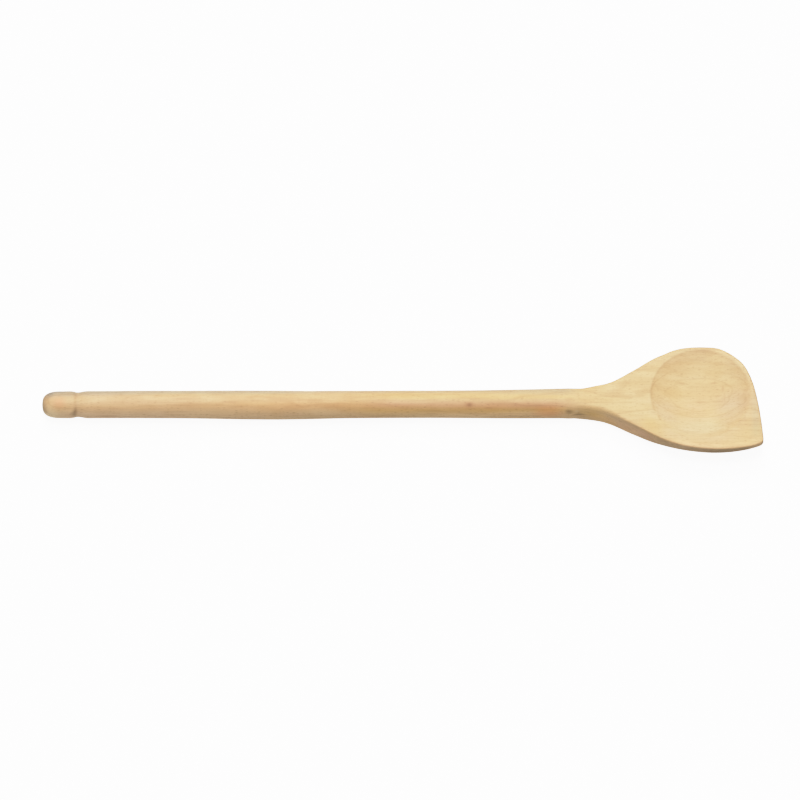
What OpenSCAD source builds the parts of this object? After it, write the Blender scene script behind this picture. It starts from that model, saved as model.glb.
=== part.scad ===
// A wooden mixing spoon with a pointed corner, made from one piece of beech.
// Millimetres. X runs along the spoon, from the knob of the handle (-X) to the pointed corner (+X).
// Y runs across it. The pointed corner lies on the -Y side. Z is up and the dish opens upwards.
// The origin is at the middle of the bounding box, on the flat surface that the spoon lies on.

/* [Handle] */
// length over all
length = 300; // [280:1:320]
// radius of the straight part of the handle, just above the groove
shank_r = 5.65; // [5.3:0.05:5.65]
// how far the axis of the straight part lies towards the back of the middle line, because the handle is a little bowed
shank_y = 0.12; // [0:0.01:0.15]
// largest radius of the knob at the end of the handle
knob_r = 5.6; // [5:0.05:5.6]
// depth of the ring groove below the straight part
groove_depth = 0.55; // [0.3:0.05:1.5]

/* [Head] */
// thickness of the board that the head is cut from
board_t = 12.4; // [12.4:0.2:14]
// rounding of the upper edge of the head
edge_r = 0.6; // [0.3:0.1:0.8]
// radius of the round dish at its rim
dish_r = 20.8; // [18:0.1:20.9]
// depth of the dish below the upper face
dish_depth = 4.9; // [3:0.1:6]
// distance of the middle of the dish from the pointed corner, along the spoon
dish_back = 26.1; // [25.8:0.1:28]

/* [Fineness] */
// stations between two hand-set sections of the head
sub = 2; // [2:1:3]
// facets across the underside of the head
under_n = 22; // [18:2:28]

/* [Hidden] */
half_t = board_t / 2;
// facets in each upper rounding
round_n = 8;
end_x = -length / 2;
tip_x = length / 2;

// Hand-set sections from the end of the straight shank over the grip, neck and head to the pointed corner:
// [distance along the spoon from the middle of its length, front edge, back edge, rounding of the upper edge,
//  level where the side wall ends, lowest level, squareness of the underside, upper level]
// Levels are from the axis of the shank, and the edges from the spoon's middle line. Nothing goes below the flat lower face of the board, at -6.2,
// so a lowest level under that gives a flat strip there. The grip swells a little and bows to the front
// by about a third of a millimetre, as seasoned wood does.
SECT = [
  [-108, -5.59, 5.81, 5.7, 0, -5.7, 2, 5.7],
  [-92, -5.7, 5.76, 5.73, 0, -5.73, 2, 5.73],
  [-76, -6, 5.76, 5.88, 0, -5.88, 2, 5.88],
  [-62, -6.3, 5.7, 6, 0, -6, 2, 6],
  [-50, -6.41, 5.63, 6.02, 0, -6.02, 2, 6.02],
  [-38, -6.22, 5.48, 5.85, 0, -5.85, 2, 5.85],
  [-26, -5.97, 5.53, 5.75, 0, -5.75, 2, 5.75],
  [-8, -5.85, 5.51, 5.68, 0, -5.68, 2, 5.68],
  [10, -5.84, 5.52, 5.68, 0, -5.68, 2, 5.68],
  [26, -6, 5.56, 5.78, 0, -5.78, 2, 5.78],
  [40, -6.12, 5.68, 5.9, 0, -5.9, 2, 5.9],
  [52, -6.16, 5.92, 6.04, 0, -6.04, 2, 6.04],
  [62, -6.16, 6.12, 6.14, 0, -6.14, 2, 6.14],
  [66, -6.16, 6.05, 5.8, 0, -6.16, 2, 6.17],
  [69, -6.1, 5.76, 4.9, -0.3, -6.2, 2.1, 6.2],
  [71.5, -5.5, 5.15, 3.6, -1.2, -6.35, 2.4, 6.2],
  [74, -5.3, 4.9, 3, -2.2, -6.5, 2.6, 6.2],
  [77, -5.5, 5.17, 2.6, -2.6, -6.6, 2.7, 6.2],
  [80.5, -6.1, 6, 2.6, -2.6, -6.6, 2.7, 6.2],
  [84, -7.05, 6.65, 2.4, -2.6, -6.6, 2.6, 6.2],
  [87.5, -8.55, 7.75, 1.9, -2.6, -6.6, 2.5, 6.2],
  [91, -10.4, 9.35, 1.1, -2.6, -6.6, 2.5, 6.2],
  [94.5, -12.35, 11.45, 0.8, -2.5, -6.6, 2.5, 6.2],
  [98, -14.3, 13.55, 0.6, -2, -6.5, 2.4, 6.2],
  [101.5, -16.35, 15.95, 0.6, -1.2, -6.3, 2.4, 6.2],
  [105, -18.4, 18.1, 0.6, 0.1, -6.1, 2.3, 6.2],
  [108.5, -20.15, 19.75, 0.6, 1.5, -5.8, 2.3, 6.2],
  [112.5, -21.85, 21.6, 0.6, 2.5, -5.3, 2.2, 6.2],
  [117, -23.2, 22.8, 0.6, 3, -4.5, 2.2, 6.2],
  [122, -24.15, 23.25, 0.6, 3.2, -3.8, 2.2, 6.2],
  [127, -24.7, 23.2, 0.6, 3.2, -3.2, 2.2, 6.2],
  [131.5, -24.85, 22.65, 0.6, 3.2, -2.6, 2.2, 6.2],
  [135.5, -24.7, 20.75, 0.6, 3.3, -1.9, 2.2, 6.2],
  [139, -24.4, 18.2, 0.6, 3.5, -1.1, 2.2, 6.2],
  [142, -24, 15.15, 0.6, 3.7, -0.2, 2.2, 6.2],
  [144.3, -23.6, 10.85, 0.6, 3.8, 0.7, 2.2, 6.2],
  [146.2, -23.1, 5.4, 0.6, 3.9, 1.6, 2.2, 6.2],
  [147.7, -22.6, -1.5, 0.6, 3.95, 2.4, 2.2, 6.2],
  [148.8, -22.1, -8.5, 0.6, 3.95, 3, 2.2, 6.2],
  [149.5, -21.5, -14.4, 0.6, 3.95, 3.4, 2.2, 6.2],
  [149.85, -20.9, -18.2, 0.5, 3.9, 3.55, 2.2, 6.2],
  [150, -20.3, -19.4, 0.4, 3.9, 3.7, 2.2, 6.2]
];
// The knob, from its end face to the groove: [distance from the end, radius as a share of the knob's]
KNOB = [
  [0, 0.12], [0.08, 0.24], [0.25, 0.39], [0.55, 0.545], [1.2, 0.69], [2, 0.8], [3, 0.885],
  [4, 0.937], [5, 0.968], [6.2, 0.985], [8, 0.993], [10.5, 1], [12, 0.995], [12.8, 0.975]
];
// The groove: [distance from the end, share of the groove's depth]
GROOVE = [
  [13.3, 0.45], [13.8, 0.8], [14.3, 0.97], [14.9, 1], [15.6, 0.88],
  [16.5, 0.58], [17.4, 0.28], [18.3, 0.07], [19.2, 0]
];

// the handle is drawn about its own axis, which lies this far from the middle of the box
axis_y = -(min([for (r = SECT) r[1]]) + max([for (r = SECT) r[2]])) / 2;
stretch = length / 300;

// Catmull-Rom curve through rows of numbers
function row(P, i) = i < 0 ? 2 * P[0] - P[1] : i >= len(P) ? 2 * P[len(P) - 1] - P[len(P) - 2] : P[i];
function blend(a, b, c, d, t) =
  0.5 * (2 * b + (c - a) * t + (2 * a - 5 * b + 4 * c - d) * t * t + (3 * b - a - 3 * c + d) * t * t * t);
function along(P, u) =
  let (i = min(floor(u), len(P) - 2))
  blend(row(P, i - 1), row(P, i), row(P, i + 1), row(P, i + 2), u - i);

function sgn_pow(x, p) = sign(x) * pow(abs(x), p);

// one closed section at u, as [x, y, z] points: underside, back rounding, front rounding
function section(u) =
  let (
    r = along(SECT, u),
    x = r[0] * stretch,
    // 0 on the grip, which keeps to the shank's radius, and 1 from the neck on
    w = min(max((r[0] - 20) / 50, 0), 1),
    wide = shank_r / 5.65 * (1 - w) + w,
    thick = shank_r / 5.65 * (1 - w) + half_t / 6.2 * w,
    front = r[1] * wide,
    back = r[2] * wide,
    top = r[7] * thick,
    rho = min(r[3] <= 0.6001 && r[0] < 149.6 ? edge_r : r[3] * wide, 0.495 * (back - front), top),
    mid = (front + back) / 2,
    half = (back - front) / 2,
    e = 2 / r[6]
  )
  concat(
    [for (k = [0:under_n])
      let (t = 180 * k / under_n)
      [x, mid - half * sgn_pow(cos(t), e), max(r[4] - (r[4] - r[5]) * pow(max(sin(t), 0), e), -6.2) * thick]],
    [for (k = [0:round_n])
      let (t = 90 * k / round_n)
      [x, back - rho + rho * cos(t), top - rho + rho * sin(t)]],
    [for (k = [0:round_n])
      let (t = 90 * k / round_n)
      [x, front + rho - rho * sin(t), top - rho + rho * cos(t)]]
  );

// grip, neck and head, lofted through the sections
module head_body() {
  n = (len(SECT) - 1) * sub;
  secs = [for (i = [0:n]) section(i / sub)];
  m = len(secs[0]);
  pts = [for (s = secs) for (p = s) p];
  faces = concat(
    [[for (k = [0:m - 1]) k]],
    [[for (k = [0:m - 1]) n * m + m - 1 - k]],
    [for (i = [0:n - 1]) for (k = [0:m - 1])
      let (a = i * m + k, b = i * m + (k + 1) % m, c = (i + 1) * m + (k + 1) % m, d = (i + 1) * m + k)
      each [[a, d, c], [a, c, b]]]
  );
  polyhedron(points = pts, faces = faces, convexity = 6);
}

// straight shank of the handle with its knob and ring groove, turned about one axis
module handle_body() {
  groove_pts = [for (g = GROOVE) [shank_r - groove_depth * g[1], end_x + g[0]]];
  knob_pts = [for (k = KNOB) [knob_r * k[1], end_x + k[0]]];
  translate([0, shank_y, 0])
    rotate([0, 90, 0])
      rotate_extrude($fn = 96)
        polygon(concat(
          [[0, end_x]], knob_pts, groove_pts,
          [[shank_r, -107 * stretch], [0, -107 * stretch]]
        ));
}

// the round dish, part of a ball
module dish() {
  ball_r = (dish_r * dish_r + dish_depth * dish_depth) / (2 * dish_depth);
  translate([tip_x - dish_back, 1, half_t + ball_r - dish_depth])
    sphere(r = ball_r, $fn = 160);
}

module spoon() {
  color([0.86, 0.74, 0.55])
    translate([0, axis_y, half_t])
      difference() {
        union() {
          handle_body();
          head_body();
        }
        dish();
      }
}

spoon();
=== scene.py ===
"""A one-piece beech mixing spoon with a pointed corner, lying on a pale table."""

import math

import bpy
import numpy as np
from mathutils import Matrix, Vector


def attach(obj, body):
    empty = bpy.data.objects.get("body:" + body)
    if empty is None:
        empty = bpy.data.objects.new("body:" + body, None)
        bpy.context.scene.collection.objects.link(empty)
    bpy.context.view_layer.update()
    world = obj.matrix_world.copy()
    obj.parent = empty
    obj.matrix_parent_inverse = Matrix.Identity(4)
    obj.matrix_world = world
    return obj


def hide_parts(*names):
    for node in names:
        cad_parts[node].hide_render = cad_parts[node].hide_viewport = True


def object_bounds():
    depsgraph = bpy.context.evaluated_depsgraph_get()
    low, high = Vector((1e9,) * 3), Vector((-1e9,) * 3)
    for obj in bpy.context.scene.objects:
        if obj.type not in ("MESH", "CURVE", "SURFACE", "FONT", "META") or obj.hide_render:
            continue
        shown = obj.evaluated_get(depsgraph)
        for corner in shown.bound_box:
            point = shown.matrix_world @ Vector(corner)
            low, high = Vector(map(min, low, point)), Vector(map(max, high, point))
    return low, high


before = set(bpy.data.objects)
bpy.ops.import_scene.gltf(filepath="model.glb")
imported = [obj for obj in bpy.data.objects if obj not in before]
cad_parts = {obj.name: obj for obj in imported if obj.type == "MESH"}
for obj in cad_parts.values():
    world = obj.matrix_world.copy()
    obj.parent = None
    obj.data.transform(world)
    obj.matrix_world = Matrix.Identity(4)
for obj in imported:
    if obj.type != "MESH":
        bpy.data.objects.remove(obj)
CAD_LO, CAD_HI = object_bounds()
cad_box = [list(CAD_LO), list(CAD_HI)]

MM = 0.001

# ---------------------------------------------------------------------------
# The shape, in millimetres. Local axes: X along the spoon from the middle of
# its length, Y from the handle's axis, Z from the handle's axis. The same
# numbers as the part's source, drawn with finer and smoother steps.
# ---------------------------------------------------------------------------
AXIS_Y = 0.8
HALF_T = 6.2
DISH_X, DISH_Y, DISH_R, DISH_DEPTH = 123.9, 1.0, 20.8, 4.9
BALL = (DISH_R**2 + DISH_DEPTH**2) / (2 * DISH_DEPTH)
EDGE_R = 0.6

# X, front edge, back edge, rounding of the upper edge, end of the wall, lowest level, squareness, upper level
SECT = np.array(
    [
        [-108, -5.59, 5.81, 5.7, 0, -5.7, 2, 5.7],
        [-92, -5.7, 5.76, 5.73, 0, -5.73, 2, 5.73],
        [-76, -6, 5.76, 5.88, 0, -5.88, 2, 5.88],
        [-62, -6.3, 5.7, 6, 0, -6, 2, 6],
        [-50, -6.41, 5.63, 6.02, 0, -6.02, 2, 6.02],
        [-38, -6.22, 5.48, 5.85, 0, -5.85, 2, 5.85],
        [-26, -5.97, 5.53, 5.75, 0, -5.75, 2, 5.75],
        [-8, -5.85, 5.51, 5.68, 0, -5.68, 2, 5.68],
        [10, -5.84, 5.52, 5.68, 0, -5.68, 2, 5.68],
        [26, -6, 5.56, 5.78, 0, -5.78, 2, 5.78],
        [40, -6.12, 5.68, 5.9, 0, -5.9, 2, 5.9],
        [52, -6.16, 5.92, 6.04, 0, -6.04, 2, 6.04],
        [62, -6.16, 6.12, 6.14, 0, -6.14, 2, 6.14],
        [66, -6.16, 6.05, 5.8, 0, -6.16, 2, 6.17],
        [69, -6.1, 5.76, 4.9, -0.3, -6.2, 2.1, 6.2],
        [71.5, -5.5, 5.15, 3.6, -1.2, -6.35, 2.4, 6.2],
        [74, -5.3, 4.9, 3, -2.2, -6.5, 2.6, 6.2],
        [77, -5.5, 5.17, 2.6, -2.6, -6.6, 2.7, 6.2],
        [80.5, -6.1, 6, 2.6, -2.6, -6.6, 2.7, 6.2],
        [84, -7.05, 6.65, 2.4, -2.6, -6.6, 2.6, 6.2],
        [87.5, -8.55, 7.75, 1.9, -2.6, -6.6, 2.5, 6.2],
        [91, -10.4, 9.35, 1.1, -2.6, -6.6, 2.5, 6.2],
        [94.5, -12.35, 11.45, 0.8, -2.5, -6.6, 2.5, 6.2],
        [98, -14.3, 13.55, 0.6, -2, -6.5, 2.4, 6.2],
        [101.5, -16.35, 15.95, 0.6, -1.2, -6.3, 2.4, 6.2],
        [105, -18.4, 18.1, 0.6, 0.1, -6.1, 2.3, 6.2],
        [108.5, -20.15, 19.75, 0.6, 1.5, -5.8, 2.3, 6.2],
        [112.5, -21.85, 21.6, 0.6, 2.5, -5.3, 2.2, 6.2],
        [117, -23.2, 22.8, 0.6, 3, -4.5, 2.2, 6.2],
        [122, -24.15, 23.25, 0.6, 3.2, -3.8, 2.2, 6.2],
        [127, -24.7, 23.2, 0.6, 3.2, -3.2, 2.2, 6.2],
        [131.5, -24.85, 22.65, 0.6, 3.2, -2.6, 2.2, 6.2],
        [135.5, -24.7, 20.75, 0.6, 3.3, -1.9, 2.2, 6.2],
        [139, -24.4, 18.2, 0.6, 3.5, -1.1, 2.2, 6.2],
        [142, -24, 15.15, 0.6, 3.7, -0.2, 2.2, 6.2],
        [144.3, -23.6, 10.85, 0.6, 3.8, 0.7, 2.2, 6.2],
        [146.2, -23.1, 5.4, 0.6, 3.9, 1.6, 2.2, 6.2],
        [147.7, -22.6, -1.5, 0.6, 3.95, 2.4, 2.2, 6.2],
        [148.8, -22.1, -8.5, 0.6, 3.95, 3, 2.2, 6.2],
        [149.5, -21.5, -14.4, 0.6, 3.95, 3.4, 2.2, 6.2],
        [149.85, -20.9, -18.2, 0.5, 3.9, 3.55, 2.2, 6.2],
        [150, -20.3, -19.4, 0.4, 3.9, 3.7, 2.2, 6.2],
    ]
)
KNOB = [
    (0, 0.12), (0.08, 0.24), (0.25, 0.39), (0.55, 0.545), (1.2, 0.69), (2, 0.8), (3, 0.885),
    (4, 0.937), (5, 0.968), (6.2, 0.985), (8, 0.993), (10.5, 1), (12, 0.995), (12.8, 0.975),
]
GROOVE = [
    (13.3, 0.45), (13.8, 0.8), (14.3, 0.97), (14.9, 1), (15.6, 0.88),
    (16.5, 0.58), (17.4, 0.28), (18.3, 0.07), (19.2, 0),
]


def catmull(P, u):
    """Catmull-Rom curve through the rows of P, ends extended in a straight line."""
    P = np.asarray(P, float)
    Q = np.vstack([2 * P[0] - P[1], P, 2 * P[-1] - P[-2]])
    u = np.atleast_1d(np.asarray(u, float))
    i = np.clip(np.floor(u).astype(int), 0, len(P) - 2)
    t = (u - i)[:, None]
    a, b, c, d = Q[i], Q[i + 1], Q[i + 2], Q[i + 3]
    return 0.5 * (2 * b + (c - a) * t + (2 * a - 5 * b + 4 * c - d) * t**2 + (3 * b - a - 3 * c + d) * t**3)


def smooth(x, a, b):
    t = np.clip((np.asarray(x, float) - a) / (b - a), 0, 1)
    return t * t * (3 - 2 * t)


U_TAB = np.linspace(0, len(SECT) - 1, 20001)
ROW_TAB = catmull(SECT, U_TAB)
ROW_TAB[:, 3] = np.where((ROW_TAB[:, 3] <= 0.62) & (ROW_TAB[:, 0] < 149.6), EDGE_R, ROW_TAB[:, 3])


def rows_at(x):
    """Section numbers at distance x: front, back, rounding, wall end, lowest, squareness."""
    return [np.interp(x, ROW_TAB[:, 0], ROW_TAB[:, k]) for k in range(1, 7)]


def top_level(x):
    return np.minimum(np.interp(x, ROW_TAB[:, 0], ROW_TAB[:, 7]), 6.2)


def under_level(x, y):
    """Level of the underside under the plan point x, y."""
    yf, yb, _, zw, zm, n = rows_at(x)
    mid, half = (yf + yb) / 2, (yb - yf) / 2
    u = np.clip(np.abs((y - mid) / half), 0, 1)
    return np.maximum(zw - (zw - zm) * (1 - u**n) ** (1 / n), -6.2)


def soft_min(a, b, k):
    h = np.clip(0.5 + 0.5 * (b - a) / k, 0, 1)
    return b * (1 - h) + a * h - k * h * (1 - h)


def rim_soft(x, y):
    """How soft the rim of the dish is: 0 at the back and on the neck's side, 1 at the front and right."""
    front = -np.asarray(y, float)
    return smooth(front, -12, 4) * np.maximum(smooth(x, 106, 122), smooth(front, 2, 11))


def dish_level(x, y):
    rr = np.minimum((x - DISH_X) ** 2 + (y - DISH_Y) ** 2, (DISH_R + 6) ** 2)
    return 6.2 + BALL - DISH_DEPTH - np.sqrt(BALL**2 - rr)


# radius of the turned knob, groove and shank along X
SHANK_END = -108.0
SHANK_Y = 0.12
prof = [(-150 + d, 5.6 * s) for d, s in KNOB] + [(-150 + d, 5.65 - 0.55 * s) for d, s in GROOVE]
prof += [(-129.6, 5.65), (-128, 5.65), (-125.5, 5.65), (-122, 5.65), (-117, 5.655), (-112, 5.68), (-108, 5.7), (-104, 5.7)]
prof = np.array(prof)
fine = catmull(prof, np.linspace(0, len(prof) - 1, (len(prof) - 1) * 24 + 1))

# ---------------------------------------------------------------------------
# The mesh: rings of one loop each from the knob to the middle of the dish,
# then columns that swing round the pointed corner from the back to the front.
# ---------------------------------------------------------------------------
DISH_ROWS, BAND_ROWS, ROUND_ROWS, WALL_ROWS, UNDER_ROWS = 22, 7, 6, 4, 40
RIM = np.array([-0.55, -0.3, -0.12, 0.06, 0.24, 0.45])
K = 1 + DISH_ROWS + len(RIM) - 1 + BAND_ROWS + ROUND_ROWS + WALL_ROWS + UNDER_ROWS
N = 2 * K - 2


def resample(points, lengths_at):
    """Points of a dense line at the given fractions of its own length."""
    seg = np.linalg.norm(np.diff(points, axis=0), axis=1)
    s = np.concatenate([[0], np.cumsum(seg)])
    return np.stack([np.interp(lengths_at * s[-1], s, points[:, i]) for i in range(points.shape[1])], axis=1), s


def even(points, count):
    """count fractions of the whole, evenly along a dense line, the start left out."""
    seg = np.linalg.norm(np.diff(points, axis=0), axis=1)
    s = np.concatenate([[0], np.cumsum(seg)])
    f = np.arange(1, count + 1) / count
    return np.stack([np.interp(f * s[-1], s, points[:, i]) for i in range(points.shape[1])], axis=1)


def split_y(x):
    yf, yb = rows_at(x)[:2]
    k = smooth(x, 78, 98)
    return (yf + yb) / 2 * (1 - k) + DISH_Y * k


def outline_slope(x, side):
    e = 0.15
    k = 1 if side > 0 else 0
    return (rows_at(x + e)[k] - rows_at(x - e)[k]) / (2 * e)


def half_ring(x, side):
    """K points (y, z) from the top centre over one side to the bottom centre, the dish not yet cut."""
    if x <= SHANK_END:
        r = np.interp(x, fine[:, 0], fine[:, 1])
        a = np.linspace(0, math.pi, K)
        return np.stack([SHANK_Y + side * r * np.sin(a), r * np.cos(a)], axis=1)
    yf, yb, rho, zw, zm, n = [float(v) for v in rows_at(x)]
    top = float(top_level(x))
    edge = yb if side > 0 else yf
    mid, half, c = (yf + yb) / 2, (yb - yf) / 2, float(split_y(x))
    rho = min(rho, 0.49999 * (yb - yf), top)
    b = float(smooth(x, 80, 92))
    cosa = math.cos(math.atan(abs(outline_slope(min(x, 123.0), side))))
    w = rho / (1 - b + b * cosa)
    w = min(w, abs(edge - mid) * 0.9999)
    y1 = edge - side * w
    # dense line of the whole half
    t = np.linspace(0, math.pi / 2, 60)
    rounding = np.stack([edge - side * w * (1 - np.sin(t)), top - rho * (1 - np.cos(t))], axis=1)
    uc = (c - mid) / half * side
    tc = math.acos(max(-1, min(1, math.copysign(abs(uc) ** (n / 2), uc))))
    t = np.linspace(0, 1, 500) ** 1.6 * tc
    e = 2 / n
    ct = np.cos(t)
    under = np.stack(
        [mid + side * half * np.sign(ct) * np.abs(ct) ** e, np.maximum(zw - (zw - zm) * np.abs(np.sin(t)) ** e, -6.2)],
        axis=1,
    )
    start = np.array([[c, top]])
    inner = np.array([[y1, top]])
    wall_end = np.array([[edge, min(zw, top - rho)]])
    dense = np.vstack([start, inner, rounding[1:], wall_end, under[1:]])
    seg = np.linalg.norm(np.diff(dense, axis=0), axis=1)
    s = np.concatenate([[0], np.cumsum(seg)])
    total = s[-1]
    # rows that follow the rim, the edge and the wall
    reach = abs(y1 - c)
    hx = math.sqrt(max(DISH_R**2 - (x - DISH_X) ** 2, 0))
    h0 = 4.2 + 3.6 * float(smooth(103.4 - x, 0, 11))
    h = max(hx, h0 if x < DISH_X else 0)
    h = min(h, reach - 0.5)
    pos = np.concatenate(
        [
            (h + RIM[0]) * np.arange(0, DISH_ROWS + 1) / DISH_ROWS,
            h + RIM[1:],
            (h + RIM[-1]) + (reach - h - RIM[-1]) * np.arange(1, BAND_ROWS + 1) / BAND_ROWS,
        ]
    )
    s_round = s[1 + len(rounding) - 1]
    s_wall = s[1 + len(rounding)]
    aligned = np.concatenate(
        [
            pos,
            reach + (s_round - s[1]) * np.arange(1, ROUND_ROWS + 1) / ROUND_ROWS,
            s_round + (s_wall - s_round) * np.arange(1, WALL_ROWS + 1) / WALL_ROWS,
            s_wall + (total - s_wall) * np.arange(1, UNDER_ROWS + 1) / UNDER_ROWS,
        ]
    )
    B = float(smooth(x, 86, 101))
    f = (1 - B) * np.linspace(0, total, K) + B * aligned
    return np.stack([np.interp(f, s, dense[:, 0]), np.interp(f, s, dense[:, 1])], axis=1)


def cut_dish(x, yz, rows):
    """Lowers the upper rows to the dish."""
    z = yz[:, 1].copy()
    m = np.arange(len(z)) < rows
    d = soft_min(z, dish_level(x, yz[:, 0]), 0.17 + 0.36 * rim_soft(x, yz[:, 0]))
    z[m] = np.minimum(z, d)[m]
    return np.stack([yz[:, 0], z], axis=1)


TOP_ROWS = 1 + DISH_ROWS + len(RIM) - 1 + BAND_ROWS + ROUND_ROWS

# stations along X
end_xr = [(-150.0, 0.0), (-150.0, 0.34)]
first = fine[0]
xs_knob = []
arc = np.concatenate([[0], np.cumsum(np.linalg.norm(np.diff(fine, axis=0), axis=1))])
a_end = np.interp(-130.0, fine[:, 0], arc)
a = np.linspace(0, a_end, 78)
xs_knob = np.interp(a, arc, fine[:, 0])
xs = list(xs_knob)
xs += list(np.linspace(-130.0, 60, 160)[1:])
xs += list(np.linspace(60, 102.7, 98)[1:])
xs += list(np.linspace(102.7, 103.9, 13)[1:])
xs += list(np.linspace(103.9, 107, 13)[1:])
xs += list(np.linspace(107, DISH_X, 41)[1:])

rings = []
for x, r in end_xr[1:]:
    ang = np.linspace(0, math.pi, K)
    back = np.stack([np.full(K, x), r * np.sin(ang), r * np.cos(ang)], axis=1)
    front = back * [1, -1, 1]
    back, front = back + [0, SHANK_Y, 0], front + [0, SHANK_Y, 0]
    rings.append(np.vstack([back, front[-2:0:-1]]))
for x in xs:
    halves = []
    for side in (1, -1):
        h = half_ring(x, side)
        if x > 98:
            h = cut_dish(x, h, TOP_ROWS)
        halves.append(np.column_stack([np.full(K, x), h]))
    back, front = halves
    mean = (back[0] + front[0]) / 2
    back[0] = mean
    mean = (back[-1] + front[-1]) / 2
    back[-1] = mean
    rings.append(np.vstack([back, front[-2:0:-1]]))
rings = np.array(rings)

# outline from the back of the last ring round the pointed corner to its front
u0 = np.interp(118.0, ROW_TAB[:, 0], U_TAB)
part = ROW_TAB[U_TAB >= u0]
outline = np.vstack([part[:, [0, 2]], part[::-1][:, [0, 1]]])
seg = np.linalg.norm(np.diff(outline, axis=0), axis=1)
keep = np.concatenate([[True], seg > 1e-6])
outline = outline[keep]
seg = np.linalg.norm(np.diff(outline, axis=0), axis=1)
s = np.concatenate([[0], np.cumsum(seg)])
step = 0.04
ss = np.arange(0, s[-1], step)
line = np.stack([np.interp(ss, s, outline[:, 0]), np.interp(ss, s, outline[:, 1])], axis=1)
w = np.exp(-0.5 * (np.arange(-30, 31) * step / 0.42) ** 2)
w /= w.sum()
pad = np.vstack([np.repeat(line[:1], 30, 0), line, np.repeat(line[-1:], 30, 0)])
soft = np.stack([np.convolve(pad[:, i], w, mode="valid") for i in (0, 1)], axis=1)
near_tip = smooth(line[:, 0], 146.5, 148.5)[:, None] * smooth(-line[:, 1], 10, 14)[:, None]
line = line * (1 - near_tip) + soft * near_tip
# the part of it that the columns use
back_i = np.argmax(line[:, 0] >= DISH_X)
front_i = len(line) - 1 - np.argmax(line[::-1, 0] >= DISH_X)
arc_line = np.concatenate([[0], np.cumsum(np.linalg.norm(np.diff(line, axis=0), axis=1))])
tip_i = int(np.argmax(np.hypot(line[:, 0] - DISH_X, line[:, 1] - DISH_Y)))
s_mid = (arc_line[back_i:front_i + 1])
dens = 1 + 1.7 * np.exp(-0.5 * ((s_mid - arc_line[tip_i]) / 1.6) ** 2)
cum = np.concatenate([[0], np.cumsum(0.5 * (dens[1:] + dens[:-1]) * np.diff(s_mid))])
COLS = 196
pick = np.interp(np.linspace(0, cum[-1], COLS + 1), cum, s_mid)
spokes = np.stack([np.interp(pick, arc_line, line[:, i]) for i in (0, 1)], axis=1)


def edge_distance(p):
    """Distance of plan points from the outline."""
    a, b = line[:-1:3], np.vstack([line[3::3], line[-1:]])[: len(line[:-1:3])]
    ab = b - a
    out = np.empty(len(p))
    for i in range(0, len(p), 400):
        q = p[i:i + 400, None, :]
        t = np.clip(((q - a) * ab).sum(2) / np.maximum((ab**2).sum(1), 1e-12), 0, 1)
        out[i:i + 400] = np.sqrt((((a + t[..., None] * ab) - q) ** 2).sum(2)).min(1)
    return out


centre = np.array([DISH_X, DISH_Y])
columns = []
for j in range(1, COLS):
    o = spokes[j]
    ray = o - centre
    reach_o = np.linalg.norm(ray)
    ray = ray / reach_o
    k = int(np.argmin(np.abs(arc_line - pick[j])))
    tan = line[min(k + 3, len(line) - 1)] - line[max(k - 3, 0)]
    tan /= np.linalg.norm(tan)
    cosb = max(abs(ray[0] * tan[1] - ray[1] * tan[0]), 0.5)
    rho = float(np.interp(o[0], [149.5, 149.9], [EDGE_R, 0.5]))
    w = rho / cosb
    reach = reach_o - w
    t = np.arange(1, ROUND_ROWS + 1) / ROUND_ROWS * math.pi / 2
    dist = np.concatenate(
        [
            (DISH_R + RIM[0]) * np.arange(0, DISH_ROWS + 1) / DISH_ROWS,
            DISH_R + RIM[1:],
            (DISH_R + RIM[-1]) + (reach - DISH_R - RIM[-1]) * np.arange(1, BAND_ROWS + 1) / BAND_ROWS,
            reach + w * np.sin(t),
        ]
    )
    p = centre + dist[:, None] * ray
    d = np.full(len(p), 9.0)
    far = dist > reach - 0.8
    d[far] = edge_distance(p[far])
    d[-1] = 0
    z = np.where(d < rho, 6.2 - rho + np.sqrt(np.maximum(rho**2 - (rho - d) ** 2, 0)), 6.2)
    z = np.minimum(z, soft_min(z, dish_level(p[:, 0], p[:, 1]), 0.17 + 0.36 * rim_soft(p[:, 0], p[:, 1])))
    upper = np.column_stack([p, z])
    q = np.linspace(0, 1, 700) ** 2.2
    pu = o + q[:, None] * (centre - o)
    zu = under_level(pu[:, 0], pu[:, 1])
    z_wall = min(float(zu[0]), 6.2 - rho - 0.4)
    zu = np.minimum(zu, z_wall)
    wall_z = (6.2 - rho) + (z_wall - (6.2 - rho)) * np.arange(1, WALL_ROWS + 1) / WALL_ROWS
    wall = np.column_stack([np.repeat(o[None], WALL_ROWS, 0), wall_z])
    under = even(np.column_stack([pu, zu]), UNDER_ROWS)
    columns.append(np.vstack([upper, wall, under]))

# ---------------------------------------------------------------------------
# vertices and faces
# ---------------------------------------------------------------------------
verts = [np.array([[-150.0, SHANK_Y, 0.0]])]
R = len(rings)
verts.append(rings.reshape(-1, 3))


def rid(i, k):
    return 1 + i * N + (k % N)


faces = [(0, rid(0, k + 1), rid(0, k)) for k in range(N)]
for i in range(R - 1):
    for k in range(N):
        faces.append((rid(i, k), rid(i, k + 1), rid(i + 1, k + 1), rid(i + 1, k)))
base = 1 + R * N
inner = np.array([c[1:-1] for c in columns])
verts.append(inner.reshape(-1, 3))


def cid(j, k):
    if k == 0:
        return rid(R - 1, 0)
    if k == K - 1:
        return rid(R - 1, K - 1)
    if j == 0:
        return rid(R - 1, k)
    if j == COLS:
        return rid(R - 1, N - k)
    return base + (j - 1) * (K - 2) + (k - 1)


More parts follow.
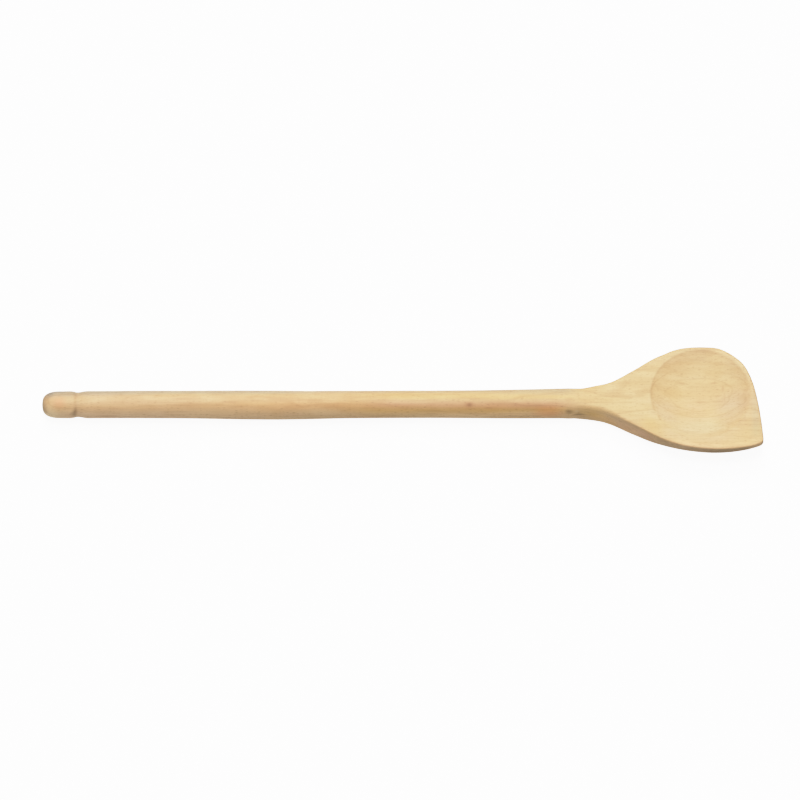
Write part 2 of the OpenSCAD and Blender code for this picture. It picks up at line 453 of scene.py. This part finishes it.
for j in range(COLS):
    for k in range(K - 1):
        q = [cid(j, k), cid(j, k + 1), cid(j + 1, k + 1), cid(j + 1, k)]
        q = [v for n_, v in enumerate(q) if v not in q[:n_]]
        faces.append(tuple(q))
V = np.vstack(verts)

# hand-sanded unevenness: long, shallow waves
rng = np.random.RandomState(7)


def waves(p, count, lo, hi, stretch):
    out = np.zeros(len(p))
    for _ in range(count):
        k = rng.normal(size=3)
        k /= np.linalg.norm(k)
        k *= 2 * math.pi / rng.uniform(lo, hi)
        k *= stretch
        out += np.sin(p @ k + rng.uniform(0, 2 * math.pi))
    return out / math.sqrt(count)


bump_long = waves(V, 14, 14, 40, np.array([0.7, 1.0, 1.0]))
bump_short = waves(V, 18, 5, 12, np.array([0.5, 1.0, 1.0]))

mesh = bpy.data.meshes.new("spoon_wood")
mesh.from_pydata(((V + [0, AXIS_Y, HALF_T]) * MM).tolist(), [], faces)
mesh.validate(verbose=False)
mesh.update()


def volume(me):
    me.calc_loop_triangles()
    co = np.zeros(len(me.vertices) * 3)
    me.vertices.foreach_get("co", co)
    co = co.reshape(-1, 3)
    tri = np.zeros(len(me.loop_triangles) * 3, int)
    me.loop_triangles.foreach_get("vertices", tri)
    a, b, c = co[tri.reshape(-1, 3)].transpose(1, 0, 2)
    return float((a * np.cross(b, c)).sum() / 6)


if volume(mesh) < 0:
    mesh.flip_normals()
    mesh.update()
normals = np.zeros(len(V) * 3)
mesh.vertices.foreach_get("normal", normals)
normals = normals.reshape(-1, 3)
amount = 0.018 * bump_long + 0.006 * bump_short
amount = np.clip(amount - amount.mean(), -0.05, 0.05)
quiet = 1 - 0.85 * smooth(-V[:, 2], 5.2, 6.0)
V2 = V + normals * (amount * quiet)[:, None]
# inside the frame's box by a hundredth of a millimetre at the ends and sides, level with it at top and bottom
world = V2 + [0, AXIS_Y, HALF_T]
lo = np.array(cad_box[0]) / MM + [0.01, 0.01, 0.0]
hi = np.array(cad_box[1]) / MM - [0.01, 0.01, 0.0]
have_lo, have_hi = world.min(0), world.max(0)
for i in range(3):
    k = (hi[i] - lo[i]) / (have_hi[i] - have_lo[i])
    world[:, i] = lo[i] + (world[:, i] - have_lo[i]) * k
mesh.vertices.foreach_set("co", (world * MM).ravel())
mesh.update()
mesh.polygons.foreach_set("use_smooth", np.ones(len(mesh.polygons), bool))

spoon = bpy.data.objects.new("spoon_wood", mesh)
bpy.context.scene.collection.objects.link(spoon)

# ---------------------------------------------------------------------------
# Masks kept on the mesh: painted shade along the dish's rim and in the groove, darker rounded edges (partly painted
# shade, partly wear), the painted darker side wall and a painted highlight
# ---------------------------------------------------------------------------
x, y, z = V.T
# painted shade: a darker line along the dish's rim, weaker where the rim is soft
rim_d = np.abs(np.hypot(x - DISH_X, y - DISH_Y) - DISH_R)
rim = np.exp(-((rim_d / 0.55) ** 2)) * (z > 5.3) * (x > 98) * (1 - 0.75 * rim_soft(x, y))
yf, yb, rho, zw, zm, n_ = rows_at(np.clip(x, 62, 150))
corner = np.exp(-(((z - (6.2 - 0.25)) / 0.45) ** 2))
side_d = np.minimum(np.abs(y - yf), np.abs(y - yb))
right_d = np.zeros(len(V)) + 9
sel = x > 123
right_d[sel] = edge_distance(np.stack([x[sel], y[sel]], axis=1))
side_d = np.where(sel, right_d, side_d)
# rounded upper edges darker: partly painted shade, partly wear
edge = np.exp(-((side_d / 0.55) ** 2)) * corner * smooth(x, 84, 95)
along_front = smooth(x, 108, 118) * smooth(-x, -150, -147) * smooth(-y, 18, 21)
edge *= 0.4 + 0.6 * np.maximum(np.maximum(smooth(y, -8, 2), smooth(x, 139, 145) * smooth(y, -22, -19)), 0.6 * along_front)
# a painted highlight: a lighter line on the upper face just inside the front edge
painted_highlight = np.exp(-(((side_d - 1.55) / 0.85) ** 2)) * smooth(z, 5.5, 5.9) * along_front
# painted shade in the groove
groove = np.exp(-(((x + 136.1) / 0.9) ** 2))
# the side wall under the head's front edge is darker towards the pointed corner in the photograph.
# That may be shade and not the wood's colour. It is painted here.
shade_x = [98, 106, 109, 115, 122, 127, 131, 136, 141, 144, 147, 149]
shade_k = [0, 0.06, 0.18, 0.24, 0.32, 0.46, 0.50, 0.50, 0.46, 0.34, 0.18, 0]
shade = np.interp(x, shade_x, shade_k) * smooth(5.85 - z, 0, 0.45) * (0.5 + 0.5 * smooth(-y, -4, 4))
shade *= smooth(-normals[:, 2], -0.5, -0.2) * smooth(normals[:, 2], -0.9, -0.2)
for name, data in (("rim", rim), ("edge", edge), ("groove", groove), ("shade", shade), ("painted_highlight", painted_highlight)):
    at = mesh.attributes.new(name, "FLOAT", "POINT")
    at.data.foreach_set("value", data.astype(np.float32))


# ---------------------------------------------------------------------------
# Material: beech, in millimetres of the frame
# ---------------------------------------------------------------------------
class Tree:
    def __init__(self, tree):
        self.t = tree
        self.n = 0

    def node(self, kind, **props):
        nd = self.t.nodes.new(kind)
        nd.location = (220 * (self.n % 12), -180 * (self.n // 12))
        self.n += 1
        for k_, v_ in props.items():
            setattr(nd, k_, v_)
        return nd

    def put(self, socket, value):
        if isinstance(value, bpy.types.NodeSocket):
            self.t.links.new(value, socket)
        else:
            socket.default_value = value

    def math(self, op, a, b=None, c=None, clamp=False):
        nd = self.node("ShaderNodeMath", operation=op, use_clamp=clamp)
        for i, v_ in enumerate((a, b, c)):
            if v_ is not None:
                self.put(nd.inputs[i], v_)
        return nd.outputs[0]

    def vmath(self, op, a, b=None):
        nd = self.node("ShaderNodeVectorMath", operation=op)
        self.put(nd.inputs[0], a)
        if b is not None:
            self.put(nd.inputs[3] if op == "SCALE" else nd.inputs[1], b)
        return nd.outputs["Value"] if op in ("LENGTH", "DISTANCE", "DOT_PRODUCT") else nd.outputs[0]

    def noise(self, vec, scale, detail=2.0, rough=0.5, distort=0.0, colour=False, dims="3D", w=None):
        nd = self.node("ShaderNodeTexNoise", noise_dimensions=dims)
        self.put(nd.inputs["Vector"], vec)
        self.put(nd.inputs["Scale"], scale)
        self.put(nd.inputs["Detail"], detail)
        self.put(nd.inputs["Roughness"], rough)
        self.put(nd.inputs["Distortion"], distort)
        return nd.outputs["Color"] if colour else nd.outputs["Fac"]

    def ramp(self, value, a, b, lo=0.0, hi=1.0, kind="SMOOTHSTEP"):
        nd = self.node("ShaderNodeMapRange", interpolation_type=kind, clamp=True)
        for i, v_ in enumerate((value, a, b, lo, hi)):
            self.put(nd.inputs[i], v_)
        return nd.outputs[0]

    def mix(self, fac, a, b, blend="MIX"):
        nd = self.node("ShaderNodeMix", data_type="RGBA", blend_type=blend, clamp_factor=True)
        self.put(nd.inputs[0], fac)
        self.put(nd.inputs[6], a)
        self.put(nd.inputs[7], b)
        return nd.outputs[2]

    def scaled(self, vec, sx, sy, sz, ox=0.0, oy=0.0, oz=0.0):
        nd = self.node("ShaderNodeMapping", vector_type="POINT")
        self.put(nd.inputs["Vector"], vec)
        nd.inputs["Scale"].default_value = (sx, sy, sz)
        nd.inputs["Location"].default_value = (ox, oy, oz)
        return nd.outputs[0]


mat = bpy.data.materials.new("beech_wood")
mat.use_nodes = True
nt = mat.node_tree
nt.nodes.clear()
T = Tree(nt)
out = T.node("ShaderNodeOutputMaterial")
bsdf = T.node("ShaderNodeBsdfPrincipled")
nt.links.new(bsdf.outputs[0], out.inputs[0])
coord = T.node("ShaderNodeTexCoord").outputs["Object"]
P = T.vmath("SCALE", coord, 1000.0)  # millimetres

# growth rings: long cylinders about a pith under the spoon, wandering a little
wander = T.noise(T.scaled(P, 0.018, 0.05, 0.05), 1.0, 2.0, 0.5, colour=True)
wander2 = T.noise(T.scaled(P, 0.06, 0.22, 0.22, 7, 3, 1), 1.0, 2.0, 0.5, colour=True)
Pw = T.vmath("ADD", P, T.vmath("MULTIPLY", T.vmath("SUBTRACT", wander, (0.5, 0.5, 0.5)), (0.0, 9.0, 6.0)))
Pw = T.vmath("ADD", Pw, T.vmath("MULTIPLY", T.vmath("SUBTRACT", wander2, (0.5, 0.5, 0.5)), (0.0, 1.6, 1.2)))
sep = T.node("ShaderNodeSeparateXYZ")
T.put(sep.inputs[0], Pw)
X, Y, Z = sep.outputs
dy = T.math("SUBTRACT", Y, 4.2)
dz = T.math("ADD", Z, 12.0)
dist = T.math("SQRT", T.math("ADD", T.math("MULTIPLY", dy, dy), T.math("MULTIPLY", dz, dz)))
dist = T.math("ADD", dist, T.math("MULTIPLY", X, 0.012))
phase = T.math("FRACT", T.math("DIVIDE", dist, 2.35))
late = T.math("MULTIPLY", T.ramp(phase, 0.45, 0.93), T.ramp(phase, 1.0, 0.93))
late_fine = T.math("MULTIPLY", T.ramp(phase, 0.80, 0.93), T.ramp(phase, 1.0, 0.94))
ring_amt = T.noise(T.scaled(P, 0.03, 0.09, 0.09, 11, 5, 2), 1.0, 1.0, 0.5)
ring_amt = T.ramp(ring_amt, 0.3, 0.7, 0.35, 1.0)

# lengthwise fibre
streak_wide = T.noise(T.scaled(P, 0.012, 0.30, 0.30, 3, 1, 9), 1.0, 3.0, 0.55)
streak_mid = T.noise(T.scaled(P, 0.035, 1.1, 1.1, 1, 8, 2), 1.0, 3.0, 0.6)
streak_fine = T.noise(T.scaled(P, 0.12, 5.5, 5.5, 5, 2, 4), 1.0, 2.0, 0.6)
drift = T.noise(T.scaled(P, 0.016, 0.035, 0.035, 2, 6, 8), 1.0, 2.0, 0.5)
drift2 = T.noise(T.scaled(P, 0.03, 0.06, 0.06, 12, 4, 1), 1.0, 2.0, 0.5)
mottle = T.noise(T.scaled(P, 0.10, 0.30, 0.30, 4, 9, 6), 1.0, 2.0, 0.55)


# ray flecks: small thin plates, longest along X and thinnest along Y
def flecks(sx, sy, sz, off, lo_, hi_):
    wob = T.noise(T.scaled(P, 0.25, 0.6, 0.25, off, off, off), 1.0, 1.0, 0.5, colour=True)
    q = T.vmath("ADD", P, T.vmath("MULTIPLY", T.vmath("SUBTRACT", wob, (0.5, 0.5, 0.5)), (0.6, 0.35, 0.3)))
    v = T.node("ShaderNodeTexVoronoi", feature="F1", distance="EUCLIDEAN")
    T.put(v.inputs["Vector"], T.scaled(q, sx, sy, sz, off, off * 2, off * 3))
    T.put(v.inputs["Scale"], 1.0)
    T.put(v.inputs["Randomness"], 1.0)
    sepc = T.node("ShaderNodeSeparateColor")
    T.put(sepc.inputs[0], v.outputs["Color"])
    some = T.ramp(sepc.outputs[0], 0.25, 0.95, 0.0, 1.0, "LINEAR")
    body = T.ramp(v.outputs["Distance"], lo_, hi_, 1.0, 0.0)
    return T.math("MULTIPLY", body, some)


fleck_a = flecks(0.42, 2.1, 0.95, 1.0, 0.10, 0.38)
fleck_b = flecks(0.75, 3.6, 1.60, 5.0, 0.10, 0.40)
pores = flecks(1.1, 9.0, 9.0, 9.0, 0.08, 0.30)

# colours of the wood
pale = (0.705, 0.490, 0.255, 1)
warm = (0.665, 0.430, 0.200, 1)
pink = (0.690, 0.455, 0.245, 1)
dark = (0.430, 0.255, 0.120, 1)
fleckc = (0.400, 0.225, 0.100, 1)
col = T.mix(T.ramp(drift, 0.35, 0.68), pale, pink)
col = T.mix(T.math("MULTIPLY", T.ramp(drift2, 0.45, 0.75), 0.55), col, warm)
col = T.mix(T.math("MULTIPLY", T.ramp(streak_wide, 0.42, 0.75), 0.40), col, warm)
col = T.mix(T.math("MULTIPLY", T.math("MULTIPLY", late, ring_amt), 0.26), col, warm)
col = T.mix(T.math("MULTIPLY", T.math("MULTIPLY", late_fine, ring_amt), 0.24), col, dark)
col = T.mix(T.math("MULTIPLY", T.ramp(streak_mid, 0.50, 0.80), 0.37), col, dark)
col = T.mix(T.math("MULTIPLY", T.ramp(streak_fine, 0.50, 0.85), 0.34), col, dark)
col = T.mix(T.math("MULTIPLY", fleck_a, 0.56), col, fleckc)
col = T.mix(T.math("MULTIPLY", fleck_b, 0.40), col, fleckc)
col = T.mix(T.math("MULTIPLY", pores, 0.32), col, dark)


# soft mottling of a few millimetres
col = T.mix(T.ramp(mottle, 0.34, 0.66), T.mix(1.0, col, (0.968, 0.958, 0.948, 1), "MULTIPLY"), T.mix(1.0, col, (1.035, 1.05, 1.07, 1), "MULTIPLY"))


# small marks: pin knots, mineral streaks, stains, and at the knob's end, in the groove and at the neck painted shade
# and a painted light spot. Centre and half sizes in mm, strength, colour
def mark(col_in, centre_, half_, strength, colour, hard=0.35):
    q = T.vmath("SUBTRACT", P, tuple(centre_))
    q = T.vmath("DIVIDE", q, tuple(half_))
    d_ = T.vmath("LENGTH", q)
    d_ = T.math("ADD", d_, T.math("MULTIPLY", T.math("SUBTRACT", streak_mid, 0.5), 0.5))
    m_ = T.ramp(d_, hard, 1.0, 1.0, 0.0)
    return T.mix(T.math("MULTIPLY", m_, strength), col_in, colour)


knot_and_painted_shade = (0.200, 0.105, 0.045, 1)
rust_and_shade = (0.420, 0.215, 0.100, 1)
orange = (0.760, 0.400, 0.200, 1)
painted_shade_grey = (0.330, 0.250, 0.160, 1)
painted_light_spot = (0.70, 0.54, 0.34, 1)
MARKS = [
    # knob and groove: an orange spot, painted shade on the knob's rounded end, painted shade in the groove
    ((-142.8, -0.3, 11.6), (2.2, 1.6, 1.4), 0.16, orange, 0.1),
    ((-147.2, 3.2, 10.0), (3.6, 3.6, 4.0), 0.72, painted_shade_grey, 0.0),
    ((-143.6, 4.6, 9.8), (4.6, 1.6, 2.6), 0.40, painted_shade_grey, 0.0),
    ((-136.2, -3.6, 8.9), (1.2, 2.6, 3.0), 0.40, knot_and_painted_shade, 0.0),
    ((-136.9, -4.2, 7.8), (2.0, 2.4, 2.6), 0.42, knot_and_painted_shade, 0.0),
    # handle
    ((27.7, -2.2, 11.1), (2.9, 1.9, 1.6), 0.52, rust_and_shade, 0.0),
    ((27.9, -2.3, 11.0), (1.4, 1.0, 1.0), 0.32, knot_and_painted_shade, 0.0),
    ((35.5, -3.3, 10.2), (3.0, 0.6, 0.8), 0.35, rust_and_shade, 0.2),
    ((-123.0, -4.4, 6.6), (6.5, 1.2, 1.1), 0.35, rust_and_shade, 0.2),
    ((-118.0, -2.8, 9.6), (9.0, 1.0, 1.0), 0.28, rust_and_shade, 0.2),
    ((-92.0, 0.6, 11.6), (7.0, 0.8, 0.8), 0.20, rust_and_shade, 0.2),
    ((-72.0, -1.0, 11.7), (5.5, 0.9, 0.9), 0.25, rust_and_shade, 0.1),
    ((-48.0, -2.8, 10.7), (4.5, 0.9, 0.9), 0.25, rust_and_shade, 0.1),
    # neck: painted shade, a painted light spot and painted shade at the shoulder where the round handle turns square,
    # a stain on top, painted shade under the upper front edge
    ((69.3, -4.3, 9.2), (2.7, 1.7, 1.9), 0.88, knot_and_painted_shade, 0.0),
    ((72.5, -4.0, 9.2), (1.7, 1.2, 1.4), 0.90, painted_light_spot, 0.1),
    ((73.4, -4.8, 6.6), (3.6, 1.2, 1.3), 0.55, knot_and_painted_shade, 0.1),
    ((69.5, -0.4, 12.3), (3.4, 1.2, 1.2), 0.25, rust_and_shade, 0.0),
    ((83.5, -4.4, 11.6), (4.5, 1.0, 1.2), 0.28, rust_and_shade, 0.0),
    # dish
    ((116.4, 8.8, 8.6), (3.0, 0.8, 1.0), 0.36, rust_and_shade, 0.1),
    ((129.8, 9.0, 8.4), (3.0, 0.7, 1.0), 0.40, rust_and_shade, 0.1),
    ((133.4, 6.4, 8.8), (0.9, 2.6, 1.0), 0.30, rust_and_shade, 0.1),
    ((134.0, 1.8, 8.7), (0.7, 3.6, 1.0), 0.20, rust_and_shade, 0.1),
    ((123.9, 0.5, 7.5), (5.0, 0.7, 1.0), 0.34, rust_and_shade, 0.1),
]
for m in MARKS:
    col = mark(col, *m)

# broad differences of tone, tuned against the photograph: along the handle by the drop below its middle
# as seen from the front, in millimetres, and on the head as soft patches. They are partly painted light and shade
# (lighter or darker by how the surface faces the light), partly the wood's colour and partly image compression.
def gauss(value, middle, width):
    q = T.math("DIVIDE", T.math("SUBTRACT", value, middle), width)
    return T.math("EXPONENT", T.math("MULTIPLY", T.math("MULTIPLY", q, q), -1.0))


def tone(col_in, mask, factor):
    return T.mix(mask, col_in, (*factor, 1), "MULTIPLY")


psep = T.node("ShaderNodeSeparateXYZ")
T.put(psep.inputs[0], P)
along_x = psep.outputs[0]
drop = T.math("ADD", T.vmath("DOT_PRODUCT", P, (0.0, -0.883, -0.4695)), 3.66)
drop = T.math("ADD", drop, T.math("MULTIPLY", T.math("SUBTRACT", streak_wide, 0.5), 1.8))
drop = T.math("ADD", drop, T.math("MULTIPLY", T.math("SUBTRACT", streak_mid, 0.5), 0.9))
on_handle = T.ramp(along_x, 66.0, 78.0, 1.0, 0.0)
brown = T.math("MULTIPLY", T.ramp(along_x, -95.0, 32.0, 0.0, 1.0, "LINEAR"), T.ramp(along_x, 62.0, 74.0, 1.0, 0.0))
# painted shade, partly the wood's own colour: a darker, browner band just below the handle's middle
col = tone(col, T.math("MULTIPLY", gauss(drop, 1.0, 2.1), brown), (0.86, 0.75, 0.66))
# painted light: lighter along the low side of the handle's left part
left = T.math("MULTIPLY", T.ramp(along_x, -100.0, -25.0, 1.0, 0.0, "LINEAR"), T.ramp(drop, 1.2, 4.6))
col = tone(col, left, (1.12, 1.19, 1.28))
yellow = T.math("MULTIPLY", T.ramp(along_x, -30.0, -8.0), T.ramp(along_x, 62.0, 74.0, 1.0, 0.0))
col = tone(col, T.math("MULTIPLY", gauss(drop, 2.7, 1.3), yellow), (0.98, 0.95, 0.78))
# painted shade: darker along the upper back side of the handle, and of its left end in the next line
col = tone(col, T.math("MULTIPLY", T.ramp(drop, -3.6, -5.2), on_handle), (0.83, 0.91, 1.02))
col = tone(col, T.math("MULTIPLY", T.ramp(along_x, -90.0, -130.0), T.ramp(drop, -2.3, -4.6)), (0.90, 0.90, 0.95))
col = tone(col, T.math("MULTIPLY", gauss(drop, -0.6, 2.4), gauss(along_x, -50.0, 34.0)), (1.03, 0.97, 0.89))
right_part = T.math("MULTIPLY", T.ramp(along_x, -22.0, -2.0), T.ramp(along_x, 62.0, 76.0, 1.0, 0.0))
col = tone(col, T.math("MULTIPLY", gauss(drop, -2.9, 1.0), right_part), (1.01, 0.985, 0.87))
col = tone(col, T.math("MULTIPLY", gauss(drop, 0.4, 1.4), right_part), (1.01, 0.99, 1.13))
# painted shade: darker on the upper back side of the handle's left part
left_top = T.math("MULTIPLY", T.ramp(along_x, -30.0, -60.0), T.ramp(drop, -2.8, -4.6))
col = tone(col, left_top, (0.90, 0.97, 1.02))
# painted light: a lighter band low on the handle's middle part
low_band = T.math("MULTIPLY", T.ramp(along_x, 4.0, 20.0), T.ramp(along_x, 46.0, 58.0, 1.0, 0.0))
col = tone(col, T.math("MULTIPLY", gauss(drop, 4.4, 1.3), low_band), (1.10, 1.11, 1.17))
col = tone(col, T.ramp(along_x, -40.0, -10.0, 1.0, 0.0), (1.01, 1.01, 1.05))
col = tone(col, T.ramp(along_x, 76.0, 84.0), (1.005, 1.03, 1.045))


def patch(col_in, centre_, half_, factor):
    q = T.vmath("DIVIDE", T.vmath("SUBTRACT", P, tuple(centre_)), tuple(half_))
    return tone(col_in, T.ramp(T.vmath("LENGTH", q), 0.15, 1.2, 1.0, 0.0), factor)


# soft patches of tone: the lighter ones on the neck's lower front wall, the dish's front wall and the lower front of
# the knob's end are painted light, the darker ones along the head's back upper edge and its right edge are painted
# shade, the others mostly the wood's colour
PATCHES = [
    ((121.6, -12.9, 10.0), (18.0, 7.0, 8.0), (1.03, 1.12, 1.24)),
    ((137.5, -3.0, 9.8), (9.0, 9.0, 8.0), (0.98, 1.03, 1.20)),
    ((109.2, -5.6, 10.5), (7.0, 8.0, 8.0), (1.00, 1.02, 1.14)),
    ((139.5, 13.5, 12.0), (12.0, 8.0, 8.0), (1.02, 1.06, 1.10)),
    ((146.8, -6.0, 12.0), (2.4, 12.0, 3.0), (0.90, 0.95, 1.02)),
    ((104.0, -13.0, 12.0), (7.0, 6.0, 4.0), (1.00, 0.98, 0.88)),
    ((86.0, 5.0, 12.0), (7.0, 5.5, 4.0), (1.05, 1.08, 1.13)),
    ((84.0, -6.5, 5.0), (12.0, 3.0, 5.5), (1.15, 1.10, 1.00)),
    ((93.0, -12.0, 5.2), (12.0, 8.0, 7.5), (1.22, 1.15, 1.22)),
    ((101.0, -16.5, 8.5), (6.0, 4.5, 4.5), (1.12, 1.06, 1.14)),
    ((132.0, 20.0, 12.0), (7.0, 4.5, 4.0), (1.10, 1.12, 1.12)),
    ((124.0, 23.0, 12.2), (9.0, 2.0, 2.5), (0.94, 0.91, 0.90)),
    ((147.5, -14.5, 12.0), (4.0, 6.0, 3.0), (0.93, 0.98, 1.00)),
    ((140.5, -17.0, 12.2), (7.0, 4.5, 4.0), (0.97, 0.96, 0.93)),
    ((128.0, -12.0, 10.5), (9.0, 6.0, 6.0), (1.02, 1.05, 1.06)),
    ((60.5, -4.6, 8.5), (8.0, 3.2, 4.0), (1.08, 0.91, 0.87)),
    ((-146.8, -3.4, 7.0), (4.0, 4.0, 5.0), (1.14, 1.24, 1.34)),
    ((-143.0, -0.6, 11.5), (3.8, 3.4, 3.4), (1.05, 0.92, 0.93)),
    ((78.5, -4.6, 8.4), (10.0, 2.6, 3.6), (1.06, 1.03, 0.81)),
]
for c_ in PATCHES:
    col = patch(col, *c_)

# darker in the groove (painted shade), on end grain, along the dish's rim (painted shade) and on the rounded edges
# (partly painted shade, partly wear)
geo = T.node("ShaderNodeNewGeometry")
nsep = T.node("ShaderNodeSeparateXYZ")
T.put(nsep.inputs[0], geo.outputs["Normal"])
endgrain = T.ramp(T.math("ABSOLUTE", nsep.outputs[0]), 0.25, 0.97)
col = T.mix(T.math("MULTIPLY", endgrain, 0.48), col, (0.31, 0.20, 0.11, 1))


def attr(name_):
    nd = T.node("ShaderNodeAttribute", attribute_type="GEOMETRY", attribute_name=name_)
    return nd.outputs["Fac"]


# painted shade in the groove
col = T.mix(T.math("MULTIPLY", attr("groove"), 0.16), col, (0.26, 0.15, 0.07, 1))
# painted shade along the dish's rim
col = T.mix(T.math("MULTIPLY", attr("rim"), 0.16), col, (0.40, 0.27, 0.14, 1))
# rounded edges darker: partly painted shade, partly wear
col = T.mix(T.math("MULTIPLY", attr("edge"), 0.42), col, (0.40, 0.27, 0.14, 1))
col = T.mix(T.math("MULTIPLY", attr("shade"), T.ramp(streak_mid, 0.35, 0.65, 0.82, 1.0)), col, (0.02, 0.012, 0.006, 1))
# painted highlight: lighter just inside the front edge
col = tone(col, attr("painted_highlight"), (1.13, 1.12, 1.14))
T.put(bsdf.inputs["Base Color"], col)

rough = T.math("ADD", 0.47, T.math("MULTIPLY", streak_mid, 0.14))
rough = T.math("SUBTRACT", rough, T.math("MULTIPLY", T.math("ADD", fleck_a, fleck_b), 0.05))
rough = T.math("ADD", rough, T.math("MULTIPLY", endgrain, 0.15))
T.put(bsdf.inputs["Roughness"], rough)
bsdf.inputs["Specular IOR Level"].default_value = 0.28

height = T.math("MULTIPLY", streak_fine, 0.5)
height = T.math("ADD", height, T.math("MULTIPLY", streak_mid, 0.6))
height = T.math("SUBTRACT", height, T.math("MULTIPLY", pores, 0.5))
height = T.math("SUBTRACT", height, T.math("MULTIPLY", late_fine, 0.25))
bump = T.node("ShaderNodeBump")
bump.inputs["Strength"].default_value = 0.35
bump.inputs["Distance"].default_value = 0.00006
T.put(bump.inputs["Height"], height)
T.put(bsdf.inputs["Normal"], bump.outputs[0])

spoon.data.materials.append(mat)
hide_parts("spoon")
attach(spoon, "root")

# ---------------------------------------------------------------------------
# Table, light, camera
# ---------------------------------------------------------------------------
fm = bpy.data.meshes.new("table_top")
h = 2.6
fm.from_pydata([(-h, -h, 0), (h, -h, 0), (h, h, 0), (-h, h, 0)], [], [(0, 1, 2, 3)])
fm.update()
floor = bpy.data.objects.new("table_top", fm)
bpy.context.scene.collection.objects.link(floor)
fmat = bpy.data.materials.new("pale_table")
fmat.use_nodes = True
ft = fmat.node_tree
ft.nodes.clear()
F = Tree(ft)
fo = F.node("ShaderNodeOutputMaterial")
diff = F.node("ShaderNodeBsdfDiffuse")
diff.inputs[0].default_value = (0.66, 0.66, 0.66, 1)
emi = F.node("ShaderNodeEmission")
emi.inputs[0].default_value = (1, 1, 1, 1)
emi.inputs[1].default_value = 1.56
fpath = F.node("ShaderNodeLightPath")
lit = F.node("ShaderNodeMixShader")
F.put(lit.inputs[0], F.math("MULTIPLY", fpath.outputs["Is Camera Ray"], 0.82))
# a light table: it gives a little light of its own under the spoon
glow = F.node("ShaderNodeEmission")
glow.inputs[0].default_value = (1, 1, 1, 1)
glow.inputs[1].default_value = 0.10
both = F.node("ShaderNodeAddShader")
ft.links.new(diff.outputs[0], both.inputs[0])
ft.links.new(glow.outputs[0], both.inputs[1])
ft.links.new(both.outputs[0], lit.inputs[1])
ft.links.new(emi.outputs[0], lit.inputs[2])
tra = F.node("ShaderNodeBsdfTransparent")
mixs = F.node("ShaderNodeMixShader")
fgeo = F.node("ShaderNodeNewGeometry")
ft.links.new(fgeo.outputs["Backfacing"], mixs.inputs[0])
ft.links.new(lit.outputs[0], mixs.inputs[1])
ft.links.new(tra.outputs[0], mixs.inputs[2])
ft.links.new(mixs.outputs[0], fo.inputs[0])
floor.data.materials.append(fmat)

world_ = bpy.data.worlds.new("studio")
bpy.context.scene.world = world_
world_.use_nodes = True
wt = world_.node_tree
wt.nodes.clear()
W = Tree(wt)
wo = W.node("ShaderNodeOutputWorld")
bg = W.node("ShaderNodeBackground")
wc = W.node("ShaderNodeTexCoord").outputs["Generated"]
wsep = W.node("ShaderNodeSeparateXYZ")
W.put(wsep.inputs[0], wc)
over = W.ramp(wsep.outputs[2], 0.0, 0.9)
W.put(bg.inputs["Strength"], W.math("ADD", 0.14, W.math("MULTIPLY", over, 0.06)))
bg.inputs["Color"].default_value = (1, 1, 1, 1)
wt.links.new(bg.outputs[0], wo.inputs[0])


def softbox(name_, tilt_, energy, size):
    """A wide soft light in the plane across the spoon, tilt_ degrees from overhead towards the back."""
    d_ = bpy.data.lights.new(name_, "SUN")
    d_.energy = energy
    d_.angle = math.radians(size)
    ob = bpy.data.objects.new(name_, d_)
    a_ = math.radians(tilt_)
    ob.rotation_mode = "QUATERNION"
    ob.rotation_quaternion = Vector((0.0, -math.sin(a_), -math.cos(a_))).to_track_quat("-Z", "Y")
    bpy.context.scene.collection.objects.link(ob)
    return ob


softbox("top", 0, 2.2, 24)
softbox("key", 32, 1.65, 28)

cam_d = bpy.data.cameras.new("camera")
cam = bpy.data.objects.new("camera", cam_d)
bpy.context.scene.collection.objects.link(cam)
DIST = 8.0
WIDTH = 0.33314
cam_d.sensor_width = 36
cam_d.sensor_fit = "AUTO"
cam_d.lens = 36 * DIST / WIDTH
cam_d.clip_start, cam_d.clip_end = 0.05, 20
el = math.radians(62)
look = Vector((0, math.cos(el), -math.sin(el)))
up = Vector((0, math.sin(el), math.cos(el)))
right = Vector((1, 0, 0))
roll = math.radians(0.17)
# the point that the middle of the picture shows
target = Vector((-1.06 * MM, AXIS_Y * MM, HALF_T * MM)) + up * (1.65 * MM)
cam.location = target - look * DIST
m3 = Matrix((right, up, -look)).transposed()
cam.rotation_mode = "QUATERNION"
cam.rotation_quaternion = (m3 @ Matrix.Rotation(-roll, 3, "Z")).to_quaternion()
bpy.context.scene.camera = cam

view_ = bpy.context.scene.view_settings
view_.view_transform = "Standard"
view_.look = "None"
view_.exposure = 0
view_.gamma = 1
view_.use_curve_mapping = True
cm = view_.curve_mapping
cm.white_level = (2.0, 2.0, 2.0)
cm.extend = "HORIZONTAL"
curve = cm.curves[3]
TONE = [(0.0, 0.0), (0.3, 0.3), (0.55, 0.55), (0.70, 0.682), (0.85, 0.775), (1.0, 0.843), (1.15, 0.90), (1.3, 0.95), (1.5, 0.99), (1.7, 1.0), (2.0, 1.0)]
curve.points[0].location = TONE[0]
curve.points[1].location = (TONE[-1][0] / 2, TONE[-1][1])
for p_ in TONE[1:-1]:
    curve.points.new(p_[0] / 2, p_[1])
for p_ in curve.points:
    p_.handle_type = "AUTO_CLAMPED"
cm.update()
